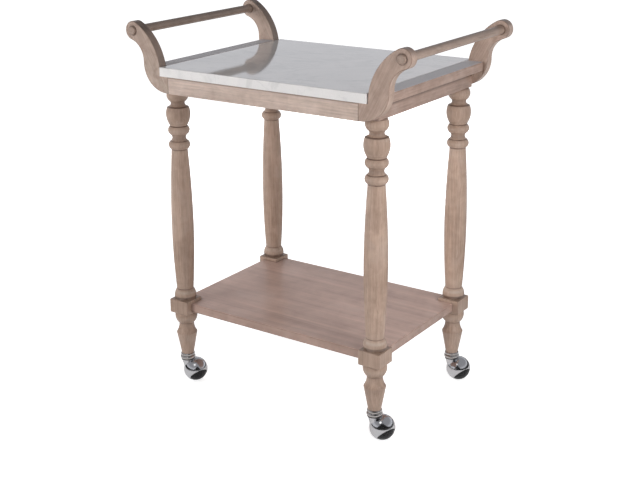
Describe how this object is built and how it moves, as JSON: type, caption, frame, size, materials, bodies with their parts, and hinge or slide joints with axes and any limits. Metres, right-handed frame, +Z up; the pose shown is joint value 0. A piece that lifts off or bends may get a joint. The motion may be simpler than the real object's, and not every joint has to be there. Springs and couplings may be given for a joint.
{
  "type": "bar cart",
  "caption": "Wheeled serving cart: marble slab between scrolled wooden arms with round handle bars, turned legs, a lower shelf and hooded ball casters that swivel.",
  "frame": {"origin": "on the floor, under the middle of the cart", "axes": "+Z up; +X along the cart's length to its right end; -Y to its front, so +Y to its back"},
  "size_m": [0.7206, 0.452, 0.854],
  "materials": {
    "marble": "polished white marble with faint grey veins",
    "frame_wood": "limed brown-grey wood, satin",
    "turned_wood": "limed brown-grey wood, satin, grain upright",
    "shelf_wood": "limed brown-grey wood, satin, grain lengthwise",
    "plain_wood": "unfinished wood",
    "polished_chrome": "polished",
    "steel": "bright zinc",
    "wheel_black": "smooth black"
  },
  "bodies": {
    "cart": {"apron_dowels": "plain_wood", "back_left_caster_socket": "polished_chrome", "back_left_corner_block": "plain_wood", "back_left_leg": "turned_wood", "back_left_scroll_arm": "frame_wood", "back_rail": "frame_wood", "back_right_caster_socket": "polished_chrome", "back_right_corner_block": "plain_wood", "back_right_leg": "turned_wood", "back_right_scroll_arm": "frame_wood", "center_batten": "plain_wood", "end_board_dowels": "plain_wood", "front_left_caster_socket": "polished_chrome", "front_left_corner_block": "plain_wood", "front_left_leg": "turned_wood", "front_left_scroll_arm": "frame_wood", "front_rail": "frame_wood", "front_right_caster_socket": "polished_chrome", "front_right_corner_block": "plain_wood", "front_right_leg": "turned_wood", "front_right_scroll_arm": "frame_wood", "left_end_apron": "frame_wood", "left_end_board": "frame_wood", "left_handle_bar": "frame_wood", "leg_hanger_bolts": "steel", "leg_thread_inserts": "steel", "lower_shelf": "shelf_wood", "marble_top": "marble", "rail_dowels": "plain_wood", "right_end_apron": "frame_wood", "right_end_board": "frame_wood", "right_handle_bar": "frame_wood", "shelf_dowels": "plain_wood"},
    "front_left_caster": {"front_left_caster_stem": "steel", "front_left_caster_hood": "polished_chrome", "front_left_caster_axle": "steel"},
    "front_left_wheel": {"front_left_caster_wheel": "wheel_black"},
    "front_right_caster": {"front_right_caster_stem": "steel", "front_right_caster_hood": "polished_chrome", "front_right_caster_axle": "steel"},
    "front_right_wheel": {"front_right_caster_wheel": "wheel_black"},
    "back_left_caster": {"back_left_caster_stem": "steel", "back_left_caster_hood": "polished_chrome", "back_left_caster_axle": "steel"},
    "back_left_wheel": {"back_left_caster_wheel": "wheel_black"},
    "back_right_caster": {"back_right_caster_stem": "steel", "back_right_caster_hood": "polished_chrome", "back_right_caster_axle": "steel"},
    "back_right_wheel": {"back_right_caster_wheel": "wheel_black"}
  },
  "joints": [
    {"name": "front_left_swivel", "type": "hinge", "parent": "cart", "child": "front_left_caster", "pos_m": [-0.25825, -0.1744, 0.05], "axis": [0, 0, 1], "continuous": true},
    {"name": "front_left_roll", "type": "hinge", "parent": "front_left_caster", "child": "front_left_wheel", "pos_m": [-0.2445, -0.16441, 0.0274], "axis": [0.709, -0.2483, -0.66], "continuous": true},
    {"name": "front_right_swivel", "type": "hinge", "parent": "cart", "child": "front_right_caster", "pos_m": [0.25825, -0.1744, 0.05], "axis": [0, 0, 1], "continuous": true},
    {"name": "front_right_roll", "type": "hinge", "parent": "front_right_caster", "child": "front_right_wheel", "pos_m": [0.272, -0.16441, 0.0274], "axis": [0.709, -0.2483, -0.66], "continuous": true},
    {"name": "back_left_swivel", "type": "hinge", "parent": "cart", "child": "back_left_caster", "pos_m": [-0.25825, 0.1744, 0.05], "axis": [0, 0, 1], "continuous": true},
    {"name": "back_left_roll", "type": "hinge", "parent": "back_left_caster", "child": "back_left_wheel", "pos_m": [-0.2445, 0.18439, 0.0274], "axis": [0.709, -0.2483, -0.66], "continuous": true},
    {"name": "back_right_swivel", "type": "hinge", "parent": "cart", "child": "back_right_caster", "pos_m": [0.25825, 0.1744, 0.05], "axis": [0, 0, 1], "continuous": true},
    {"name": "back_right_roll", "type": "hinge", "parent": "back_right_caster", "child": "back_right_wheel", "pos_m": [0.272, 0.18439, 0.0274], "axis": [0.709, -0.2483, -0.66], "continuous": true}
  ]
}
